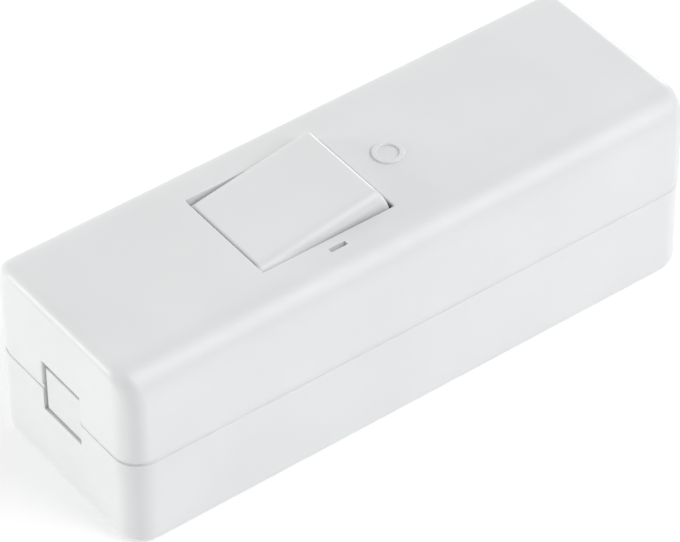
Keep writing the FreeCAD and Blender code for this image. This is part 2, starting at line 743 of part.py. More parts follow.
def make_load_terminal(name, side):
    end = f"({load_along} - terminalLength / 2)"
    root = f"({end} + stripRoot)"
    pad = f"({contact_along} - contactRadius)"
    leg = f"({contact_along} + contactRadius + stripThickness)"
    leg_far = f"({leg} + stripThickness)"
    corners = [
        (pad, f"{pad_top} - stripThickness"),
        (leg, f"{pad_top} - stripThickness"),
        (leg, "floorThickness"),
        (root, "floorThickness"),
        (root, strip_top),
        (leg_far, strip_top),
        (leg_far, pad_top),
        (pad, pad_top),
    ]
    return fuse(name, [terminal_block(name, side, load_along), strip_foot(name, side, end, root),
                       bent_strip(name, side, corners, [2, 6], [1, 5])])


# A slotted screw whose head rests on a seat; up is 1 when the head is above it.
def screw(name, x, y, seat, up, radius, length, head_radius, head_height):
    head_start = seat if up > 0 else f"{seat} - {head_height}"
    shank_start = f"{seat} - {length}" if up > 0 else seat
    head_end = f"{seat} + {up} * {head_height}"
    floor = f"{head_end} - {up} * screwSlotDepth"
    head = rod(name + "Head", "z", head_radius, (x, y, head_start), head_height)
    shank = rod(name + "Shank", "z", radius, (x, y, shank_start), length)
    slot = box(name + "Slot", (f"{x} - {head_radius}", f"{x} + {head_radius}"),
               (f"{y} - screwSlotWidth / 2", f"{y} + screwSlotWidth / 2"),
               (floor, f"{head_end} + cutOver") if up > 0 else (f"{head_end} - cutOver", floor))
    return cut(name, fuse(name + "Full", [head, shank]), [slot])


def make_terminal_screws():
    screws = []
    for middle, row in ((feed_along, "feed"), (load_along, "load")):
        for side in (-1, 1):
            screws.append(screw(
                f"{row}Screw{'Front' if side < 0 else 'Back'}", middle, f"{side} * {terminal_across}",
                "(floorThickness + terminalHeight)", 1, "smallScrewRadius", "terminalScrewLength",
                "smallHeadRadius", "smallHeadHeight"))
    return group("terminal_screws", screws)


def make_clamp_screws():
    screws = []
    for end in (-1, 1):
        for side in (-1, 1):
            screws.append(screw(
                f"clampScrew{'Near' if end < 0 else 'Far'}{'Front' if side < 0 else 'Back'}",
                f"{end} * {clamp_along}", f"{side} * clampScrewOffset", "(clampSeat + clampThickness)", 1,
                "smallScrewRadius", "clampScrewLength", "smallHeadRadius", "smallHeadHeight"))
    return group("clamp_screws", screws)


def make_housing_screws():
    return group("housing_screws", [
        screw(f"housingScrew{'Near' if end < 0 else 'Far'}", f"{end} * {boss_along}", "0", "headRecess", -1,
              "housingScrewRadius", "housingScrewLength", "housingHeadRadius", "housingHeadHeight")
        for end in (-1, 1)])


def make_cord_clamp(name, end):
    middle = f"{end} * {clamp_along}"
    strap = box(name + "Strap", (f"{middle} - clampWidth / 2", f"{middle} + clampWidth / 2"),
                both("clampScrewOffset + clampBossRadius"), ("clampSeat", "clampSeat + clampThickness"))
    tools = [rod(name + "Arch", "x", "cordRadius",
                 (f"{middle} - clampWidth", "0", "clampSeat + clampArch - cordRadius"), "2 * clampWidth")]
    for side in (-1, 1):
        tools.append(rod(f"{name}Hole{side + 1}", "z", "smallScrewRadius + screwClearance",
                         (middle, f"{side} * clampScrewOffset", "clampSeat - cutOver"),
                         "clampThickness + 2 * cutOver"))
    return cut(name, strap, tools)


def make_entry_plate(name, end):
    flange = box(name + "Flange", along(end, plate_back, plate_front), both(plate_half),
                 (f"{entry_low} - plateFlange", f"{entry_high} + plateFlange"))
    panel = box(name + "Panel", along(end, plate_back, f"{half_length} - plateRecess"),
                both("entryWidth / 2 - plateGap"),
                (f"{entry_low} + plateGap", f"{entry_high} - plateTopGap"))
    return fuse(name, [flange, panel])


def make_rivet(name, side, top):
    low = f"{top} - contactThickness"
    return rod(name, "z", "contactRadius", (contact_along, f"{side} * poleOffset", low), "contactThickness")


nodes = [make_upper_shell(), make_lower_shell(), make_rocker(), make_housing_screws(), make_terminal_screws(),
         make_clamp_screws()]
for side, end in ((-1, "near"), (1, "far")):
    nodes.append(make_entry_plate("entry_plate_" + end, side))
    nodes.append(make_cord_clamp("cord_clamp_" + end, side))
for side, end in ((-1, "front"), (1, "back")):
    nodes.append(make_plunger("plunger_" + end, side))
    nodes.append(make_spring("plunger_spring_" + end, side))
    nodes.append(make_seesaw("seesaw_" + end, side))
    nodes.append(make_rivet("moving_contact_" + end, side, arm_height))
    nodes.append(make_feed_terminal("feed_terminal_" + end, side))
    nodes.append(make_load_terminal("load_terminal_" + end, side))
nodes.append(group("fixed_contacts", [
    make_rivet("fixedContactFront", -1, f"({pad_top} + contactThickness)"),
    make_rivet("fixedContactBack", 1, f"({pad_top} + contactThickness)")]))
doc.recompute()

for item in doc.Objects:
    faults = [state for state in item.State if state in ("Invalid", "Error")]
    if faults:
        raise RuntimeError(f"{item.Label} has the state {faults}")
os.makedirs("parts", exist_ok=True)
for node in nodes:
    node.Label = node.Name
    if node.Shape.isNull() or not node.Shape.isValid():
        raise RuntimeError(f"{node.Label} has no valid shape")
    node.Shape.exportStep(f"parts/{node.Label}.step")
    print(node.Label, len(node.Shape.Solids), round(node.Shape.Volume, 2))
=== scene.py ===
import json
import math
import bmesh
import bpy
from mathutils import Matrix, Vector


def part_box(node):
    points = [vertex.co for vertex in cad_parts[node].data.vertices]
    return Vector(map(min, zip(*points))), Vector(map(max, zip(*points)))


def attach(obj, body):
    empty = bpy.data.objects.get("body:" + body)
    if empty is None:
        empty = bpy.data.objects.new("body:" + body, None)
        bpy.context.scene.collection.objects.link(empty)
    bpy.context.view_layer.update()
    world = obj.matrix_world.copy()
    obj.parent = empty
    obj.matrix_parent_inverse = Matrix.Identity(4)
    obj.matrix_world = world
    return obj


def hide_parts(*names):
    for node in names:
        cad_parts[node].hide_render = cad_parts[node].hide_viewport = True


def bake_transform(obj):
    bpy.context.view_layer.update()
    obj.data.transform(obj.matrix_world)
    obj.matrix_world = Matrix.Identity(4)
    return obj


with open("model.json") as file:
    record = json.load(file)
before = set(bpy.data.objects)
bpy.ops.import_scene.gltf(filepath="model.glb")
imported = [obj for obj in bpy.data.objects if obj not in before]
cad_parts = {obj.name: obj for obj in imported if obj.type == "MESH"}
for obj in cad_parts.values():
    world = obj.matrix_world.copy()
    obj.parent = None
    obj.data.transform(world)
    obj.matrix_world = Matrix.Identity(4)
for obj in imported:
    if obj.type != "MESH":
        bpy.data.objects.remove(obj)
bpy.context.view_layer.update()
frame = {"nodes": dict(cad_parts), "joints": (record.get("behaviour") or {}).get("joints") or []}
joints = {joint["name"]: joint for joint in frame["joints"]}
perMetre, mm = 1000, 0.001  # pieces are drawn in millimetres
slack = 0.01  # positions this close count as the same
mergeDistance = 0.0005
rimAngle = 60  # edges sharper than this are softened
smoothAngle = 38  # edges flatter than this are shaded smooth
pivot = Vector(joints["rocker_tilt"]["pos_m"]) * perMetre
swing = math.radians(joints["rocker_tilt"]["range_deg"][1])
restTurn = Matrix.Rotation(-swing / 2, 4, "Y")  # the rocker's near end is down
restPlace = Matrix.Translation(pivot) @ restTurn
quarterTurn = Matrix.Rotation(math.radians(90), 4, "X")
scene = bpy.context.scene
print("frame loaded:", len(frame["nodes"]), "nodes")


def boxOf(node):
    low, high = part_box(node)
    return Vector(low) * perMetre, Vector(high) * perMetre


def vertsOf(made, key="geom"):
    return [item for item in made[key] if isinstance(item, bmesh.types.BMVert)]


def edgesOf(made, key="geom"):
    return [item for item in made[key] if isinstance(item, bmesh.types.BMEdge)]


def reach(bm, vert, *points):  # runs an edge from a vertex through the points
    for point in points:
        vert = bmesh.ops.extrude_vert_indiv(bm, verts=[vert])["verts"][0]
        vert.co = point
    return vert


def sweepArc(bm, vert, centre, axis, degrees, steps):  # runs an arc from a vertex
    made = bmesh.ops.spin(bm, geom=[vert], cent=centre, axis=axis, angle=math.radians(degrees), steps=steps)
    return vertsOf(made, "geom_last")[0]


def pushEdges(bm, edges):  # extrudes edges; gives the new vertices and the new copies of the edges
    made = bmesh.ops.extrude_edge_only(bm, edges=edges)
    verts = set(vertsOf(made))
    return verts, [edge for edge in edgesOf(made) if all(vert in verts for vert in edge.verts)]


def block(bm, low, high):
    low, high = Vector(low), Vector(high)
    place = Matrix.Translation((low + high) / 2) @ Matrix.Diagonal((*(high - low), 1))
    bmesh.ops.create_cube(bm, size=1, matrix=place)


def prism(bm, points, run):  # an outline drawn out along a vector
    before = set(bm.edges)
    first = bm.verts.new(points[0])
    last = reach(bm, first, *points[1:])
    bmesh.ops.contextual_create(bm, geom=[last, first])
    outline = [edge for edge in bm.edges if edge not in before]
    verts, back = pushEdges(bm, outline)
    bmesh.ops.translate(bm, vec=run, verts=list(verts))
    for edges in (outline, back):
        bmesh.ops.contextual_create(bm, geom=edges)


def turned(bm, spot, points, steps):  # a profile of radius and height spun round an upright axis
    before = set(bm.edges)
    corners = [Vector(spot) + Vector((radius, 0, height)) for radius, height in points]
    first = bm.verts.new(corners[0])
    last = reach(bm, first, *corners[1:])
    if points[0][0]:  # a ring's profile is closed; the others start and end on the axis
        bmesh.ops.contextual_create(bm, geom=[last, first])
    profile = [edge for edge in bm.edges if edge not in before]
    verts = list({vert for edge in profile for vert in edge.verts})
    bmesh.ops.spin(bm, geom=verts + profile, cent=spot, axis=(0, 0, 1), angle=math.tau, steps=steps,
                   use_merge=True)


def roundEdges(bm, edges, radius, segments):
    bmesh.ops.bevel(bm, geom=edges, offset=radius, offset_type="OFFSET", segments=segments, profile=0.5,
                    affect="EDGES", material=-1, clamp_overlap=False)


def boundary(edges):
    return [edge for edge in edges if edge.is_valid and edge.is_boundary]


def isSharp(edge, degrees=rimAngle):
    return len(edge.link_faces) == 2 and edge.calc_face_angle() > math.radians(degrees)


def cutFaces(bm, faces, spot, way):  # splits faces along a plane
    edges = {edge for face in faces for edge in face.edges}
    verts = {vert for face in faces for vert in face.verts}
    bmesh.ops.bisect_plane(bm, geom=faces + list(edges) + list(verts), plane_co=spot, plane_no=way)


def turnOutward(bm):  # normals of each closed part face out
    bmesh.ops.recalc_face_normals(bm, faces=bm.faces)
    left = set(bm.faces)
    while left:
        part = {left.pop()}
        fresh = list(part)
        while fresh:
            beside = {face for edge in fresh.pop().edges for face in edge.link_faces}
            fresh.extend(beside - part)
            part |= beside
        left -= part
        if sum(face.calc_center_median().dot(face.normal) * face.calc_area() for face in part) < 0:
            bmesh.ops.reverse_faces(bm, faces=list(part))


def finishMesh(bm, name):  # millimetres to metres, smooth where the faces run on
    bmesh.ops.remove_doubles(bm, verts=bm.verts, dist=mergeDistance)
    turnOutward(bm)
    bmesh.ops.scale(bm, vec=(mm, mm, mm), verts=bm.verts)
    for face in bm.faces:
        face.smooth = True
    for edge in bm.edges:
        edge.smooth = not isSharp(edge, smoothAngle)
    mesh = bpy.data.meshes.new(name)
    bm.to_mesh(mesh)
    bm.free()
    return mesh


def addPiece(name, mesh, material, body, slot, *nodes):
    piece = bpy.data.objects.new(name, mesh)
    scene.collection.objects.link(piece)
    piece.data.materials.append(material)
    normals = piece.modifiers.new("evenNormals", "WEIGHTED_NORMAL")
    normals.keep_sharp = True
    if body:
        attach(piece, body)
    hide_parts(*nodes)
    print(name, "made with", len(mesh.polygons), "faces")
    return piece


# Fine moulded surface: slow change of tone, fine grain for roughness and bump
mouldedGrain = {"Tone": {"scale": 60.0, "detail": 3.0}, "Grain": {"scale": 900.0, "detail": 1.5}}


def makeGrainGroup():
    group = bpy.data.node_groups.new("mouldedGrain", "ShaderNodeTree")
    for label, setting in mouldedGrain.items():
        socket = group.interface.new_socket(label + "Scale", in_out="INPUT", socket_type="NodeSocketFloat")
        socket.default_value = setting["scale"]
    for label in mouldedGrain:
        group.interface.new_socket(label, in_out="OUTPUT", socket_type="NodeSocketFloat")
    nodes, links = group.nodes, group.links
    inputs, outputs = nodes.new("NodeGroupInput"), nodes.new("NodeGroupOutput")
    spot = nodes.new("ShaderNodeTexCoord")
    for label, setting in mouldedGrain.items():
        noise = nodes.new("ShaderNodeTexNoise")
        noise.inputs["Detail"].default_value = setting["detail"]
        links.new(spot.outputs["Object"], noise.inputs["Vector"])
        links.new(inputs.outputs[label + "Scale"], noise.inputs["Scale"])
        links.new(noise.outputs["Fac"], outputs.inputs[label])
    return group


# Metal drawn or turned along one axis: stretched streaks
drawnStreaks = {"stretch": (150, 2600, 2600), "detail": 4.0, "toneScale": 180.0}


def makeStreakGroup():
    group = bpy.data.node_groups.new("drawnStreaks", "ShaderNodeTree")
    socket = group.interface.new_socket("Stretch", in_out="INPUT", socket_type="NodeSocketVector")
    socket.default_value = drawnStreaks["stretch"]
    for label in ("Tone", "Streak"):
        group.interface.new_socket(label, in_out="OUTPUT", socket_type="NodeSocketFloat")
    nodes, links = group.nodes, group.links
    inputs, outputs = nodes.new("NodeGroupInput"), nodes.new("NodeGroupOutput")
    spot = nodes.new("ShaderNodeTexCoord")
    stretch = nodes.new("ShaderNodeMapping")
    links.new(spot.outputs["Object"], stretch.inputs["Vector"])
    links.new(inputs.outputs["Stretch"], stretch.inputs["Scale"])
    streak = nodes.new("ShaderNodeTexNoise")
    streak.inputs["Scale"].default_value = 1.0
    streak.inputs["Detail"].default_value = drawnStreaks["detail"]
    links.new(stretch.outputs["Vector"], streak.inputs["Vector"])
    tone = nodes.new("ShaderNodeTexNoise")
    tone.inputs["Scale"].default_value = drawnStreaks["toneScale"]
    links.new(spot.outputs["Object"], tone.inputs["Vector"])
    links.new(streak.outputs["Fac"], outputs.inputs["Streak"])
    links.new(tone.outputs["Fac"], outputs.inputs["Tone"])
    return group


grainGroup = makeGrainGroup()
streakGroup = makeStreakGroup()
surface = {"noiseLow": 0.3, "noiseHigh": 0.7, "bumpDistance": 0.00002, "ior": 1.5}


def mapValue(nodes, links, source, low, high):
    spread = nodes.new("ShaderNodeMapRange")
    spread.inputs["From Min"].default_value = surface["noiseLow"]
    spread.inputs["From Max"].default_value = surface["noiseHigh"]
    spread.inputs["To Min"].default_value = low
    spread.inputs["To Max"].default_value = high
    links.new(source, spread.inputs["Value"])
    return spread.outputs["Result"]


def makeMaterial(name, finish):
    material = bpy.data.materials.new(name)
    material.use_nodes = True
    nodes, links = material.node_tree.nodes, material.node_tree.links
    shader = nodes["Principled BSDF"]
    pattern = nodes.new("ShaderNodeGroup")
    pattern.node_tree = finish["group"]
    tone, fine = pattern.outputs[0], pattern.outputs[1]
    tint = nodes.new("ShaderNodeMix")
    tint.data_type = "RGBA"
    tint.inputs["A"].default_value = (*finish["dark"], 1)
    tint.inputs["B"].default_value = (*finish["light"], 1)
    links.new(mapValue(nodes, links, tone, 0, 1), tint.inputs["Factor"])
    links.new(tint.outputs["Result"], shader.inputs["Base Color"])
    links.new(mapValue(nodes, links, fine, *finish["roughness"]), shader.inputs["Roughness"])
    bump = nodes.new("ShaderNodeBump")
    bump.inputs["Strength"].default_value = finish["bump"]
    bump.inputs["Distance"].default_value = surface["bumpDistance"]
    links.new(fine, bump.inputs["Height"])
    links.new(bump.outputs["Normal"], shader.inputs["Normal"])
    shader.inputs["Metallic"].default_value = finish.get("metallic", 0.0)
    shader.inputs["IOR"].default_value = surface["ior"]
    return material


finishes = {
    "shellPlastic": {"group": grainGroup, "dark": (0.775, 0.79, 0.785), "light": (0.815, 0.83, 0.825),
                     "roughness": (0.34, 0.42), "bump": 0.04},
    "rockerPlastic": {"group": grainGroup, "dark": (0.79, 0.80, 0.795), "light": (0.82, 0.832, 0.828),
                      "roughness": (0.30, 0.34), "bump": 0.02},
    "insertPlastic": {"group": grainGroup, "dark": (0.76, 0.775, 0.77), "light": (0.80, 0.815, 0.81),
                      "roughness": (0.36, 0.46), "bump": 0.12},
    "plungerNylon": {"group": grainGroup, "dark": (0.70, 0.69, 0.64), "light": (0.78, 0.77, 0.72),
                     "roughness": (0.38, 0.5), "bump": 0.1},
    "stampedBrass": {"group": streakGroup, "dark": (0.62, 0.43, 0.17), "light": (0.80, 0.60, 0.28),
                     "roughness": (0.22, 0.38), "bump": 0.15, "metallic": 1.0},
    "silverRivet": {"group": streakGroup, "dark": (0.72, 0.71, 0.69), "light": (0.86, 0.85, 0.83),
                    "roughness": (0.2, 0.35), "bump": 0.1, "metallic": 1.0},
    "platedSteel": {"group": streakGroup, "dark": (0.46, 0.47, 0.48), "light": (0.62, 0.63, 0.64),
                    "roughness": (0.2, 0.36), "bump": 0.12, "metallic": 1.0},
}
materials = {name: makeMaterial(name, finish) for name, finish in finishes.items()}
print("materials made:", len(materials))

# Upright channels inside both shells that hold the edges of the blanking plates
plateGuide = {"back": 33.9, "front": 34.9, "wall": 37.1, "lip": 4.1, "post": 4.75, "outer": 5.75}


def addGuides(bm, low, high):
    s = plateGuide
    outline = ((s["back"], s["lip"]), (s["front"], s["lip"]), (s["front"], s["post"]), (s["wall"], s["post"]),
               (s["wall"], s["outer"]), (s["back"], s["outer"]))
    for end in (-1, 1):
        for side in (-1, 1):
            prism(bm, [Vector((end * x, side * y, low)) for x, y in outline], (0, 0, high - low))


# Upper shell: outer and inner skins, each a side profile drawn out along X, joined round their rims
upperShell = {
    "wall": 1.8,
    "markHeight": 0.25,
    "sideRadius": 3.9,
    "cornerRadius": 3.2,
    "endRadius": 1.4,
    "rimRadius": 0.22,
    "cornerSteps": 8,
    "rimSteps": 3,
    "arcSteps": 10,
    "rockerReach": 9.25,  # the opening's end walls follow this radius round the pivot
    "openHalfWidth": 7.15,
    "dash": {"half": 1.1, "inner": 8.5, "depth": 1.0},  # reaches out to where the shoulder starts
    "notchHalf": 3.5,
    "notchTop": 15.8,
    "rebate": {"along": 23.7, "depth": 0.8, "height": 1.3},  # takes the lower shell's tongues
    "cheek": {"half": 9.33, "inner": 7.23, "outer": 9.93, "foot": 18.6, "slotHalf": 1.0, "boreRadius": 1.15,
              "boreEnd": 8.9, "boreSteps": 12},
    "boss": {"along": 23.6, "radius": 2.95, "pilotRadius": 1.45, "pilotTop": 18.8, "steps": 24},
    "faceGap": 0.02,  # keeps what meets at the parting apart
    "ring": {"along": 5.6, "outer": 1.85, "stroke": 0.6, "bevel": 0.09, "steps": 40},
}


def lowestTwo(edges):  # the feet of an open outline
    return sorted({vert for edge in edges for vert in edge.verts}, key=lambda vert: vert.co.z)[:2]


def capWithNotch(bm, edges, notchHalf, notchTop):
    left, right = sorted(lowestTwo(edges), key=lambda vert: vert.co.y)
    x, _, low = left.co
    before = set(bm.edges)
    last = reach(bm, left, (x, -notchHalf, low), (x, -notchHalf, notchTop), (x, notchHalf, notchTop),
                 (x, notchHalf, low))
    bmesh.ops.contextual_create(bm, geom=[last, right])
    bmesh.ops.contextual_create(bm, geom=edges + [edge for edge in bm.edges if edge not in before])


def cutRebate(bm, rebate, faces, halfWidth, low):  # a step in the foot of each side wall
    for side in (-1, 1):
        middles = {face: face.calc_center_median() for face in faces if face.is_valid}
        patch = [face for face, middle in middles.items() if abs(middle.y - side * halfWidth) < slack
                 and middle.z < low + rebate["height"] and abs(middle.x) < rebate["along"]]
        border = {edge for face in patch for edge in face.edges}
        bmesh.ops.delete(bm, geom=patch, context="FACES")
        verts, border = pushEdges(bm, boundary(border))
        for vert in verts:
            vert.co.y += side * rebate["depth"]
        ends = [vert for vert in verts if vert.co.z < low + slack]
        foot = bmesh.ops.contextual_create(bm, geom=ends)["edges"]
        bmesh.ops.contextual_create(bm, geom=border + foot)


def upperSkin(bm, s, halfLength, halfWidth, low, high, radius, rebate=None):  # gives end outlines and rims
    before = set(bm.edges)
    openHalf = math.sqrt(s["rockerReach"] ** 2 - (high - pivot.z) ** 2)
    arcTop = high - radius
    dash = s["dash"]
    shoulder = halfWidth - radius
    stops = (-dash["inner"], -s["openHalfWidth"], s["openHalfWidth"], shoulder)
    ledges = [low + rebate["height"]] if rebate else []
    first = bm.verts.new((-halfLength, -halfWidth, low))
    last = reach(bm, first, *[(-halfLength, -halfWidth, z) for z in (*ledges, arcTop)])
    last = sweepArc(bm, last, (-halfLength, -shoulder, arcTop), (1, 0, 0), -90, s["arcSteps"])
    last = reach(bm, last, *[(-halfLength, y, high) for y in stops])
    last = sweepArc(bm, last, (-halfLength, shoulder, arcTop), (1, 0, 0), -90, s["arcSteps"])
    reach(bm, last, *[(-halfLength, halfWidth, z) for z in (*ledges, low)])
    profile = [edge for edge in bm.edges if edge not in before]
    ends = [profile]
    steps = [pivot.x + step for step in (-openHalf, -dash["half"], dash["half"], openHalf)]
    if rebate:
        steps += [-rebate["along"], rebate["along"]]
    for x in (*sorted(steps), halfLength):
        verts, profile = pushEdges(bm, profile)
        for vert in verts:
            vert.co.x = x
    ends.append(profile)
    for edges in ends:
        capWithNotch(bm, edges, s["notchHalf"], s["notchTop"])
    made = [edge for edge in bm.edges if edge not in before]
    hole = []
    for face in {face for edge in made for face in edge.link_faces}:
        middle = face.calc_center_median()
        inside = abs(middle.y) < s["openHalfWidth"] and abs(middle.x - pivot.x) < openHalf
        if abs(middle.z - high) < slack and inside:
            hole.append(face)
    bmesh.ops.delete(bm, geom=hole, context="FACES")
    if rebate:
        faces = {face for edge in bm.edges if edge not in before for face in edge.link_faces}
        cutRebate(bm, rebate, faces, halfWidth, low)
    rims = boundary(edge for edge in bm.edges if edge not in before)
    opening = [edge for edge in rims if min(vert.co.z for vert in edge.verts) > high - slack]
    foot = [edge for edge in rims if edge not in opening]
    return ends, opening, foot


def joinFeet(bm, edges, notchHalf, low):  # the level foot along each side, then the faces of each entry
    level = [edge for edge in edges if all(abs(vert.co.z - low) < slack for vert in edge.verts)]
    for side in (-1, 1):
        path = [edge for edge in level if all(side * vert.co.y > notchHalf - slack for vert in edge.verts)]
        verts = {vert for edge in path for vert in edge.verts}
        loose = [vert for vert in verts if sum(edge in path for edge in vert.link_edges) == 1]
        for end in (-1, 1):
            pair = [vert for vert in loose if end * vert.co.x > 0]
            path += bmesh.ops.contextual_create(bm, geom=pair)["edges"]
        bmesh.ops.contextual_create(bm, geom=path)
    notches = [edge for edge in edges if all(abs(vert.co.y) < notchHalf + slack for vert in edge.verts)]
    for end in (-1, 1):
        chain = [edge for edge in notches if all(end * vert.co.x > 0 for vert in edge.verts)]
        bmesh.ops.bridge_loops(bm, edges=chain)


def addCheek(bm, s, side, high):  # holds a trunnion, which snaps in from below
    cheek = s["cheek"]
    drop = math.sqrt(cheek["boreRadius"] ** 2 - cheek["slotHalf"] ** 2)
    start = math.atan2(-drop, -cheek["slotHalf"]) + math.tau
    finish = math.atan2(-drop, cheek["slotHalf"])
    angles = [start + (finish - start) * step / cheek["boreSteps"] for step in range(cheek["boreSteps"] + 1)]
    bore = [(pivot.x + cheek["boreRadius"] * math.cos(angle), pivot.z + cheek["boreRadius"] * math.sin(angle))
            for angle in angles]
    low, left, right = cheek["foot"], pivot.x - cheek["half"], pivot.x + cheek["half"]
    outline = [(left, high), (left, low), (pivot.x - cheek["slotHalf"], low), *bore,
               (pivot.x + cheek["slotHalf"], low), (right, low), (right, high)]
    run, gap = cheek["boreEnd"] + s["faceGap"] - cheek["inner"], s["faceGap"]
    prism(bm, [Vector((x, side * cheek["inner"], z)) for x, z in outline], (0, side * run, 0))
    y = sorted((side * cheek["boreEnd"], side * cheek["outer"]))
    block(bm, (left + gap, y[0], low + gap), (right - gap, y[1], high - gap))


def makeUpperShell():
    s = upperShell
    low, high = boxOf("upper_shell")
    top = high.z - s["markHeight"]
    wall = s["wall"]
    bm = bmesh.new()
    weight = bm.edges.layers.float.new("bevel_weight_edge")
    ends, outerHole, outerFoot = upperSkin(bm, s, high.x, high.y, low.z, top, s["sideRadius"])
    room, innerHole, innerFoot = upperSkin(bm, s, high.x - wall, high.y - wall, low.z, top - wall,
                                           s["sideRadius"] - wall, s["rebate"])
    endWeight = s["endRadius"] / s["cornerRadius"]
    for edge in ends[0] + ends[1]:  # full corner radius up the sides, easing to a tighter one along the top
        rise = (sum(vert.co.z for vert in edge.verts) / 2 - top) / s["sideRadius"] + 1
        ease = min(max(rise, 0), 1)
        edge[weight] = 1 + (endWeight - 1) * ease
    for edge in room[0] + room[1]:  # the hollow's corners leave an even wall
        edge[weight] = 1 - wall / s["cornerRadius"]
    bmesh.ops.bridge_loops(bm, edges=outerHole + innerHole)
    joinFeet(bm, outerFoot + innerFoot, s["notchHalf"], low.z)
    mesh = finishMesh(bm, "upperShellRough")
    rough = bpy.data.objects.new("upperShellRough", mesh)
    scene.collection.objects.link(rough)
    corners = rough.modifiers.new("corners", "BEVEL")
    corners.limit_method = "WEIGHT"
    corners.width = s["cornerRadius"] * mm
    corners.segments = s["cornerSteps"]
    corners.use_clamp_overlap = False
    view = bpy.context.evaluated_depsgraph_get()
    bm = bmesh.new()
    bm.from_mesh(rough.evaluated_get(view).to_mesh())
    bpy.data.objects.remove(rough)
    bpy.data.meshes.remove(mesh)
    bmesh.ops.scale(bm, vec=(perMetre, perMetre, perMetre), verts=bm.verts)
    rims = [edge for edge in bm.edges if isSharp(edge)]
    roundEdges(bm, rims, s["rimRadius"], s["rimSteps"])
    dash = s["dash"]
    shoulder = high.y - s["sideRadius"]
    spot = Vector((pivot.x, -(dash["inner"] + shoulder) / 2, top))
    patch = min(bm.faces, key=lambda face: (face.calc_center_median() - spot).length)
    pocket = bmesh.ops.extrude_discrete_faces(bm, faces=[patch])["faces"][0]
    for vert in pocket.verts:
        vert.co.z -= dash["depth"]
    root, foot = top - wall / 2, low.z + s["faceGap"]
    boss = s["boss"]
    for side in (-1, 1):
        addCheek(bm, s, side, root)
        turned(bm, (side * boss["along"], 0, 0), (
            (0, root), (boss["radius"], root), (boss["radius"], foot), (boss["pilotRadius"], foot),
            (boss["pilotRadius"], boss["pilotTop"]), (0, boss["pilotTop"])), boss["steps"])
    addGuides(bm, foot, root)
    ring = s["ring"]
    inner, outer, bevel = ring["outer"] - ring["stroke"], ring["outer"], ring["bevel"]
    turned(bm, (ring["along"], 0, 0), (
        (outer, root), (outer, high.z - bevel), (outer - bevel, high.z), (inner + bevel, high.z),
        (inner, high.z - bevel), (inner, root)), ring["steps"])
    mesh = finishMesh(bm, "upperShell")
    addPiece("upperShell", mesh, materials["shellPlastic"], "housing", "shell", "upper_shell")


makeUpperShell()

# Lower shell: a tub with a stepped rim, screw wells and cord notches
lowerShell = {
    "wall": 1.8,
    "floor": 2.0,
    "cornerRadius": 3.2,
    "bottomRadius": 1.2,
    "rimRadius": 0.06,
    "cornerSteps": 8,
    "bottomSteps": 5,
    "rimSteps": 2,
    "parting": 12.3,
    "seamHeight": 0.5,
    "seamDepth": 0.16,
    "notchHalf": 3.5,
    "notchFloor": 8.8,
    "wellAlong": 23.6,
    "wellRadius": 2.7,
    "wellDepth": 4.8,
    "wayRadius": 1.45,
    "bossRadius": 3.5,
    "ringMargin": 1.0,
    "ringSteps": 32,
    "clamp": {"along": 30.8, "across": 6.6, "radius": 2.4, "top": 10.3, "pilotRadius": 1.3, "pilotFloor": 5.2,
              "steps": 24},
    "saddle": {"half": 3.5, "thick": 2.0, "top": 10.05, "trough": 3.5, "troughHeight": 11.8, "steps": 12},
    "sill": {"from": 34.95, "to": 37.1, "half": 4.7, "top": 7.55},
    "tongue": {"along": 23.6, "inner": 11.22, "outer": 11.9, "rise": 1.2},
    "barrier": {"from": -13.6, "to": 9.5, "half": 0.6, "top": 7.0},
    "fence": {"spots": ((-23.55, -22.55), (12.55, 13.55)), "inner": 3.7, "outer": 12.1, "top": 5.0},
    "faceGap": 0.02,  # keeps what meets at the parting and under the straps apart
}


def tubSkin(bm, s, halfLength, halfWidth, low, high, corner, bottom):
    before = set(bm.faces)
    block(bm, (-halfLength, -halfWidth, low), (halfLength, halfWidth, high))
    made = [face for face in bm.faces if face not in before]
    uprights = {edge for face in made for edge in face.edges
                if abs(edge.verts[0].co.z - edge.verts[1].co.z) > slack}
    roundEdges(bm, list(uprights), corner, s["cornerSteps"])
    made = [face for face in bm.faces if face not in before]
    lid = [face for face in made if face.calc_center_median().z > high - slack]
    bmesh.ops.delete(bm, geom=lid, context="FACES")
    if bottom:
        made = [face for face in bm.faces if face not in before]
        keel = {edge for face in made for edge in face.edges
                if max(vert.co.z for vert in edge.verts) < low + slack}
        roundEdges(bm, list(keel), bottom, s["bottomSteps"])
    for side in (-1, 1):  # notch in each end wall
        for spot, way in (((0, s["notchHalf"], 0), (0, 1, 0)), ((0, -s["notchHalf"], 0), (0, 1, 0)),
                          ((0, 0, s["notchFloor"]), (0, 0, 1))):
            wall = [face for face in bm.faces if face not in before
                    and abs(face.calc_center_median().x - side * halfLength) < slack]
            cutFaces(bm, wall, spot, way)
        notch = [face for face in bm.faces if face not in before
                 and abs(face.calc_center_median().x - side * halfLength) < slack
                 and abs(face.calc_center_median().y) < s["notchHalf"]
                 and face.calc_center_median().z > s["notchFloor"]]
        bmesh.ops.delete(bm, geom=notch, context="FACES")
    return boundary({edge for face in bm.faces if face not in before for edge in face.edges})


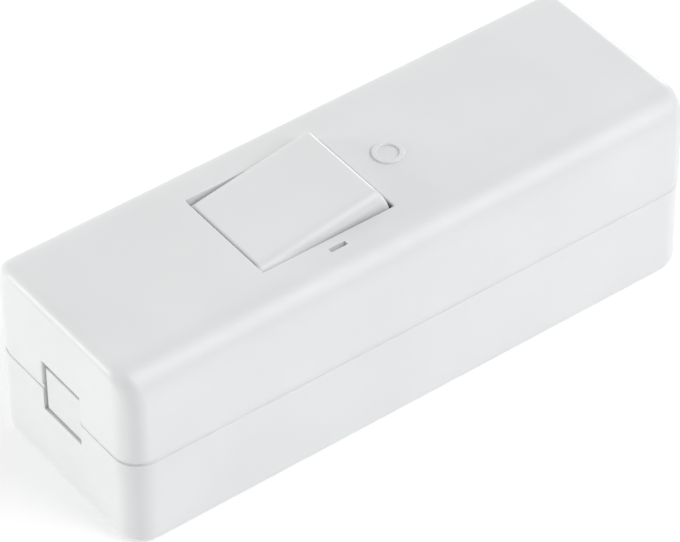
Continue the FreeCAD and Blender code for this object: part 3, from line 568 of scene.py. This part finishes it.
def openRing(bm, s, x, z, radius):  # cuts a round hole in the level faces at one height
    size = radius + s["ringMargin"]
    for spot, way in (((x - size, 0, 0), (1, 0, 0)), ((x + size, 0, 0), (1, 0, 0)),
                      ((0, -size, 0), (0, 1, 0)), ((0, size, 0), (0, 1, 0))):
        base = [face for face in bm.faces if abs(face.calc_center_median().z - z) < slack]
        cutFaces(bm, base, spot, way)
    patch = [face for face in bm.faces if abs(face.calc_center_median().z - z) < slack
             and abs(face.calc_center_median().x - x) < size and abs(face.calc_center_median().y) < size]
    frameEdges = list({edge for face in patch for edge in face.edges})
    bmesh.ops.delete(bm, geom=patch, context="FACES_ONLY")
    bmesh.ops.subdivide_edges(bm, edges=frameEdges, cuts=s["ringSteps"] // 4 - 1)  # as many as the circle has
    frameEdges = [edge for edge in boundary(bm.edges)
                  if all(abs(vert.co.z - z) < slack for vert in edge.verts)
                  and all(abs(vert.co.x - x) < size + slack for vert in edge.verts)]
    circle = bmesh.ops.create_circle(bm, cap_ends=False, radius=radius, segments=s["ringSteps"],
                                     matrix=Matrix.Translation((x, 0, z)))
    ring = list({edge for vert in circle["verts"] for edge in vert.link_edges})
    bmesh.ops.bridge_loops(bm, edges=frameEdges + ring)
    return ring


def screwWell(bm, s, x, low):  # from the underside up to the parting face and down to the inner floor
    openRing(bm, s, x, s["floor"], s["bossRadius"])
    ring = openRing(bm, s, x, low, s["wellRadius"])
    centre = Matrix.Translation((-x, 0, 0))
    radius, top = s["wellRadius"], s["parting"] - s["faceGap"]
    for nextRadius, z in ((s["wellRadius"], s["wellDepth"]), (s["wayRadius"], s["wellDepth"]),
                          (s["wayRadius"], top), (s["bossRadius"], top), (s["bossRadius"], s["floor"])):
        verts, ring = pushEdges(bm, ring)
        grow = nextRadius / radius
        bmesh.ops.scale(bm, vec=(grow, grow, 1), space=centre, verts=list(verts))
        for vert in verts:
            vert.co.z = z
        radius = nextRadius


def addCordRest(bm, s, end, root):  # clamp posts, a saddle with a round trough, and the sill under the plate
    clamp, saddle, sill = s["clamp"], s["saddle"], s["sill"]
    top = clamp["top"] - s["faceGap"]
    for side in (-1, 1):
        turned(bm, (end * clamp["along"], side * clamp["across"], 0), (
            (0, root), (clamp["radius"], root), (clamp["radius"], top), (clamp["pilotRadius"], top),
            (clamp["pilotRadius"], clamp["pilotFloor"]), (0, clamp["pilotFloor"])), clamp["steps"])
    radius, middle, steps = saddle["trough"], saddle["troughHeight"], saddle["steps"]
    start = -math.asin((middle - saddle["top"]) / radius)
    angles = [start - (2 * start + math.pi) * step / steps for step in range(steps + 1)]
    trough = [(radius * math.cos(angle), middle + radius * math.sin(angle)) for angle in angles]
    half, x = saddle["half"], end * clamp["along"] - saddle["thick"] / 2
    outline = [(-half, root), (half, root), (half, saddle["top"]), *trough, (-half, saddle["top"])]
    prism(bm, [Vector((x, y, z)) for y, z in outline], (saddle["thick"], 0, 0))
    runs = sorted((end * sill["from"], end * sill["to"]))
    block(bm, (runs[0], -sill["half"], root), (runs[1], sill["half"], sill["top"]))


def makeLowerShell():
    s = lowerShell
    low, high = boxOf("lower_shell")
    ledge = s["parting"] - s["seamHeight"]
    bm = bmesh.new()
    outer = tubSkin(bm, s, high.x, high.y, low.z, ledge, s["cornerRadius"], s["bottomRadius"])
    verts, outer = pushEdges(bm, outer)
    for vert in verts:  # in to the seam's back wall
        vert.co.x *= 1 - s["seamDepth"] / high.x
        if abs(vert.co.y) > s["notchHalf"] + slack:
            vert.co.y *= 1 - s["seamDepth"] / high.y
    rimEdges = [edge for edge in outer if min(vert.co.z for vert in edge.verts) > ledge - slack]
    verts, _ = pushEdges(bm, rimEdges)
    for vert in verts:
        vert.co.z = s["parting"]
    outer = boundary(bm.edges)
    inner = tubSkin(bm, s, high.x - s["wall"], high.y - s["wall"], s["floor"], s["parting"],
                    s["cornerRadius"] - s["wall"], 0)
    bmesh.ops.bridge_loops(bm, edges=outer + inner)
    for side in (-1, 1):
        screwWell(bm, s, side * s["wellAlong"], low.z)
    bmesh.ops.remove_doubles(bm, verts=bm.verts, dist=mergeDistance)
    bmesh.ops.recalc_face_normals(bm, faces=bm.faces)
    rims = [edge for edge in bm.edges if isSharp(edge)]
    roundEdges(bm, rims, s["rimRadius"], s["rimSteps"])
    root, parting = s["floor"] / 2, s["parting"]
    barrier, fence, tongue = s["barrier"], s["fence"], s["tongue"]
    block(bm, (barrier["from"], -barrier["half"], root), (barrier["to"], barrier["half"], barrier["top"]))
    for side in (-1, 1):
        addCordRest(bm, s, side, root)
        y = sorted((side * tongue["inner"], side * tongue["outer"]))
        x, rise = tongue["along"], tongue["rise"]
        block(bm, (-x, y[0], parting - rise), (x, y[1], parting + rise))
        y = sorted((side * fence["inner"], side * fence["outer"]))
        for near, far in fence["spots"]:
            block(bm, (near, y[0], root), (far, y[1], fence["top"]))
    addGuides(bm, root, parting - s["faceGap"])
    mesh = finishMesh(bm, "lowerShell")
    addPiece("lowerShell", mesh, materials["shellPlastic"], "housing", "shell", "lower_shell")


makeLowerShell()

# Rocker: a drum round the pivot cut flat on top, hollow below, with trunnions and plunger sleeves
rocker = {
    "radius": 9.0,
    "top": 4.5,
    "skirt": 2.2,
    "halfWidth": 6.9,
    "wall": 1.4,
    "roof": 1.5,
    "sideRadius": 1.6,
    "sideSteps": 8,
    "endRadius": 0.5,
    "endSteps": 5,
    "arcSteps": 10,
    "cornerRadius": 0.65,
    "footRadius": 0.12,
    "footSteps": 2,
    "roundSteps": 32,
    "trunnionRadius": 1.1,
    "trunnionReach": 8.7,
    "poleOffset": 3.5,
    "sleeveRadius": 2.1,
    "boreRadius": 1.4,
    "boreTop": 1.5,
    "sleeveReach": 8.3,
}


def rockerSection(s, y, top):  # side view from one foot over the top to the other, with rounded ends
    beside = max(1 - (s["halfWidth"] - abs(y)) / s["cornerRadius"], 0)
    radius = s["radius"] - s["cornerRadius"] * (1 - math.sqrt(1 - beside ** 2))  # less at the side corners
    lift = top - s["endRadius"]
    inset = radius - s["endRadius"]
    along = math.sqrt(inset ** 2 - lift ** 2)
    meet = math.atan2(lift, along)
    foot = -math.asin(s["skirt"] / radius)
    half = []
    for step in range(s["endSteps"] + 1):
        angle = math.pi / 2 + (meet - math.pi / 2) * step / s["endSteps"]
        half.append((along + s["endRadius"] * math.cos(angle), lift + s["endRadius"] * math.sin(angle)))
    for step in range(1, s["arcSteps"] + 1):
        angle = meet + (foot - meet) * step / s["arcSteps"]
        half.append((radius * math.cos(angle), radius * math.sin(angle)))
    return [Vector((-x, y, z)) for x, z in reversed(half)] + [Vector((x, y, z)) for x, z in half]


def makeRocker():
    s = rocker
    wideLow = math.sqrt(s["radius"] ** 2 - s["skirt"] ** 2)
    stations = []
    for step in range(s["sideSteps"] + 1):  # over the rounded front edge; the back is its mirror image
        angle = math.pi / 2 * step / s["sideSteps"]
        stations.append((s["sideRadius"] * (1 - math.cos(angle)), s["sideRadius"] * (1 - math.sin(angle))))
    places = [(across - s["halfWidth"], s["top"] - drop) for across, drop in stations]
    places += [(-y, top) for y, top in reversed(places)]
    bm = bmesh.new()
    points = rockerSection(s, *places[0])
    reach(bm, bm.verts.new(points[0]), *points[1:])
    profile = back = bm.edges[:]
    for place in places[1:]:
        verts, back = pushEdges(bm, back)
        verts = sorted(verts, key=lambda vert: math.atan2(vert.co.x, vert.co.z))
        for vert, point in zip(verts, rockerSection(s, *place)):
            vert.co = point
    for edges in (profile, back):
        base = bmesh.ops.contextual_create(bm, geom=lowestTwo(edges))["edges"]
        bmesh.ops.contextual_create(bm, geom=edges + base)
    rim = boundary(bm.edges)
    x, y = wideLow - s["wall"], s["halfWidth"] - s["wall"]
    for z in (-s["skirt"], s["top"] - s["roof"]):
        verts, rim = pushEdges(bm, rim)
        for vert in verts:
            vert.co = Vector((math.copysign(x, vert.co.x), math.copysign(y, vert.co.y), z))
    bmesh.ops.contextual_create(bm, geom=rim)
    bmesh.ops.recalc_face_normals(bm, faces=bm.faces)
    feet = [edge for edge in bm.edges if isSharp(edge)
            and all(abs(vert.co.y) > s["halfWidth"] - slack for vert in edge.verts)]
    roundEdges(bm, feet, s["footRadius"], s["footSteps"])
    for side in (-1, 1):
        inside = s["halfWidth"] - s["wall"] / 2
        middle = Matrix.Translation((0, side * (s["trunnionReach"] + inside) / 2, 0))
        bmesh.ops.create_cone(
            bm, cap_ends=True, segments=s["roundSteps"], radius1=s["trunnionRadius"],
            radius2=s["trunnionRadius"], depth=s["trunnionReach"] - inside, matrix=middle @ quarterTurn)
        root = s["top"] - s["roof"] / 2
        turned(bm, (0, side * s["poleOffset"], 0), (
            (0, root), (s["sleeveRadius"], root), (s["sleeveRadius"], -s["sleeveReach"]),
            (s["boreRadius"], -s["sleeveReach"]), (s["boreRadius"], s["boreTop"]), (0, s["boreTop"])),
            s["roundSteps"])
    bmesh.ops.transform(bm, matrix=restPlace, verts=bm.verts)
    mesh = finishMesh(bm, "rockerCap")
    addPiece("rockerCap", mesh, materials["rockerPlastic"], "rocker", "rocker", "rocker")


makeRocker()

# Plunger springs: round wire wound from the plunger up to the top of its bore
plungerSpring = {
    "wireRadius": 0.2,
    "coilRadius": 1.05,
    "pitch": 1.5,
    "bottom": -4.75,  # below the pivot, in the middle of the wire
    "top": 1.25,
    "wireSides": 10,
    "turnSteps": 24,
}


def makeSpring(name, node):
    s = plungerSpring
    across = sum(corner.y for corner in boxOf(node)) / 2
    turns = (s["top"] - s["bottom"]) / s["pitch"]
    bm = bmesh.new()
    start = Matrix.Translation((s["coilRadius"], across, s["bottom"])) @ quarterTurn
    bmesh.ops.create_circle(bm, cap_ends=False, radius=s["wireRadius"], segments=s["wireSides"], matrix=start)
    section = bm.edges[:]
    made = bmesh.ops.spin(bm, geom=bm.verts[:] + section, cent=(0, across, 0), axis=(0, 0, 1),
                          dvec=(0, 0, s["pitch"] / s["turnSteps"]), angle=math.tau * turns,
                          steps=round(turns * s["turnSteps"]))
    for edges in (section, edgesOf(made, "geom_last")):
        bmesh.ops.contextual_create(bm, geom=edges)
    bmesh.ops.transform(bm, matrix=restPlace, verts=bm.verts)
    piece = addPiece(name, finishMesh(bm, name), materials["platedSteel"], None, "steel", node)
    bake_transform(piece)


for poleName in ("front", "back"):
    makeSpring("plungerSpring" + poleName.title(), "plunger_spring_" + poleName)

# Blanking plates in the cord entries: a flange behind the wall and a raised panel in the opening
entryPlate = {"panelHalf": 3.2, "panelTop": 14.9, "panelBottom": 9.0, "flangeDepth": 1.2, "edgeRadius": 0.12,
              "edgeSteps": 3}


def makeEntryPlate(name, node, side):
    s = entryPlate
    low, high = boxOf(node)
    front = high.x if side > 0 else low.x
    back = low.x if side > 0 else high.x
    step = back + side * s["flangeDepth"]
    bm = bmesh.new()
    block(bm, (min(back, step), low.y, low.z), (max(back, step), high.y, high.z))
    face = max(bm.faces, key=lambda item: item.calc_center_median().x * side)
    bmesh.ops.inset_individual(bm, faces=[face], thickness=high.y - s["panelHalf"], use_even_offset=True)
    middle = (low.z + high.z) / 2
    for vert in face.verts:
        vert.co.z = s["panelTop"] if vert.co.z > middle else s["panelBottom"]
    made = bmesh.ops.extrude_discrete_faces(bm, faces=[face])
    for vert in made["faces"][0].verts:
        vert.co.x = front
    roundEdges(bm, [edge for edge in bm.edges if isSharp(edge)], s["edgeRadius"], s["edgeSteps"])
    mesh = finishMesh(bm, name)
    addPiece(name, mesh, materials["insertPlastic"], "housing", "insert", node)


for endName, endSide in (("near", -1), ("far", 1)):
    makeEntryPlate("blankingPlate" + endName.title(), "entry_plate_" + endName, endSide)

# Pieces kept from the frame, each with its own finish
keptFinishes = {
    "stampedBrass": ["feed_terminal_front", "feed_terminal_back", "load_terminal_front", "load_terminal_back",
                     "seesaw_front", "seesaw_back"],
    "silverRivet": ["fixed_contacts", "moving_contact_front", "moving_contact_back"],
    "platedSteel": ["housing_screws", "terminal_screws", "clamp_screws"],
    "plungerNylon": ["plunger_front", "plunger_back"],
    "insertPlastic": ["cord_clamp_near", "cord_clamp_far"],
}
for finish, names in keptFinishes.items():
    for name in names:
        mesh = frame["nodes"][name].data
        mesh.materials.clear()
        mesh.materials.append(materials[finish])
print("kept pieces finished")

# Studio: pale floor, soft light all round, camera at the viewing angle of the picture
studio = {
    "floorSize": 3,
    "floorTone": (0.92, 0.92, 0.92),
    "floorRoughness": 0.9,
    "floorGlow": 0.22,
    "floorDrop": 0.00003,  # keeps the floor off the underside
    "tent": 0.98,
    "ring": ((0.0, 0.40), (0.35, 0.72), (0.62, 0.72), (0.85, 0.62), (1.0, 0.6)),  # height, brightness
    "gap": {"toward": (-0.6, -0.78, 0.0), "from": 0.4, "tone": 0.02},  # darker on the camera's side
    "lights": {
        "leftBack": {"from": (-0.42, 0.28, 0.1), "size": 0.16, "watts": 0.92, "tint": (1, 0.985, 1)},
        "rightFront": {"from": (0.24, -0.39, 0.46), "size": 0.4, "watts": 1.9, "tint": (0.97, 0.96, 1)},
        "rightBack": {"from": (0.45, 0.34, 0.1), "size": 0.16, "watts": 0.5, "tint": (1, 1, 1)},
    },
}
camera = {
    "azimuth": -36.313,
    "elevation": 42.686,
    "roll": -0.674,
    "distance": 0.498145,
    "target": (-0.002276, -0.001709, 0.01273),
    "lens": 241.0,
    "sensor": 36,
}


def makeFloor():
    bm = bmesh.new()
    below = Matrix.Translation((0, 0, -studio["floorDrop"]))
    bmesh.ops.create_grid(bm, x_segments=1, y_segments=1, size=studio["floorSize"], matrix=below)
    mesh = bpy.data.meshes.new("floor")
    bm.to_mesh(mesh)
    bm.free()
    floor = bpy.data.objects.new("floor", mesh)
    scene.collection.objects.link(floor)
    material = bpy.data.materials.new("paleFloor")
    material.use_nodes = True
    shader = material.node_tree.nodes["Principled BSDF"]
    shader.inputs["Base Color"].default_value = (*studio["floorTone"], 1)
    shader.inputs["Roughness"].default_value = studio["floorRoughness"]
    shader.inputs["Emission Color"].default_value = (1, 1, 1, 1)
    shader.inputs["Emission Strength"].default_value = studio["floorGlow"]
    mesh.materials.append(material)


def makeLights():
    world = bpy.data.worlds.new("tent")
    world.use_nodes = True
    nodes, links = world.node_tree.nodes, world.node_tree.links
    way = nodes.new("ShaderNodeTexCoord")
    height = nodes.new("ShaderNodeSeparateXYZ")
    ramp = nodes.new("ShaderNodeValToRGB")
    stops = ramp.color_ramp.elements
    while len(stops) < len(studio["ring"]):
        stops.new(1)
    for stop, (spot, tone) in zip(stops, studio["ring"]):
        stop.position = spot
        stop.color = (tone, tone, tone, 1)
    links.new(way.outputs["Generated"], height.inputs["Vector"])
    links.new(height.outputs["Z"], ramp.inputs["Fac"])
    links.new(ramp.outputs["Color"], nodes["Background"].inputs["Color"])
    gap = studio["gap"]
    facing = nodes.new("ShaderNodeVectorMath")
    facing.operation = "DOT_PRODUCT"
    facing.inputs[1].default_value = gap["toward"]
    dim = nodes.new("ShaderNodeMapRange")
    for label, value in (("From Min", gap["from"]), ("From Max", 1), ("To Min", studio["tent"]),
                         ("To Max", studio["tent"] * gap["tone"])):
        dim.inputs[label].default_value = value
    links.new(way.outputs["Generated"], facing.inputs[0])
    links.new(facing.outputs["Value"], dim.inputs["Value"])
    links.new(dim.outputs["Result"], nodes["Background"].inputs["Strength"])
    scene.world = world
    for name, setting in studio["lights"].items():
        data = bpy.data.lights.new(name, "AREA")
        data.size = setting["size"]
        data.energy = setting["watts"]
        data.color = setting["tint"]
        lamp = bpy.data.objects.new(name, data)
        lamp.location = setting["from"]
        lamp.rotation_euler = (-Vector(setting["from"])).to_track_quat("-Z", "Y").to_euler()
        scene.collection.objects.link(lamp)


def makeCamera():
    turn, lift, roll = (math.radians(camera[name]) for name in ("azimuth", "elevation", "roll"))
    back = Vector((math.sin(turn) * math.cos(lift), -math.cos(turn) * math.cos(lift), math.sin(lift)))
    level = Vector((math.cos(turn), math.sin(turn), 0))
    up = back.cross(level)
    right = level * math.cos(roll) + up * math.sin(roll)
    up = up * math.cos(roll) - level * math.sin(roll)
    data = bpy.data.cameras.new("camera")
    data.lens = camera["lens"]
    data.sensor_width = camera["sensor"]
    eye = bpy.data.objects.new("camera", data)
    place = Matrix((right, up, back)).transposed().to_4x4()
    place.translation = Vector(camera["target"]) + back * camera["distance"]
    eye.matrix_world = place
    scene.collection.objects.link(eye)
    scene.camera = eye


makeFloor()
makeLights()
makeCamera()
scene.view_settings.view_transform = "Standard"
print("studio set")
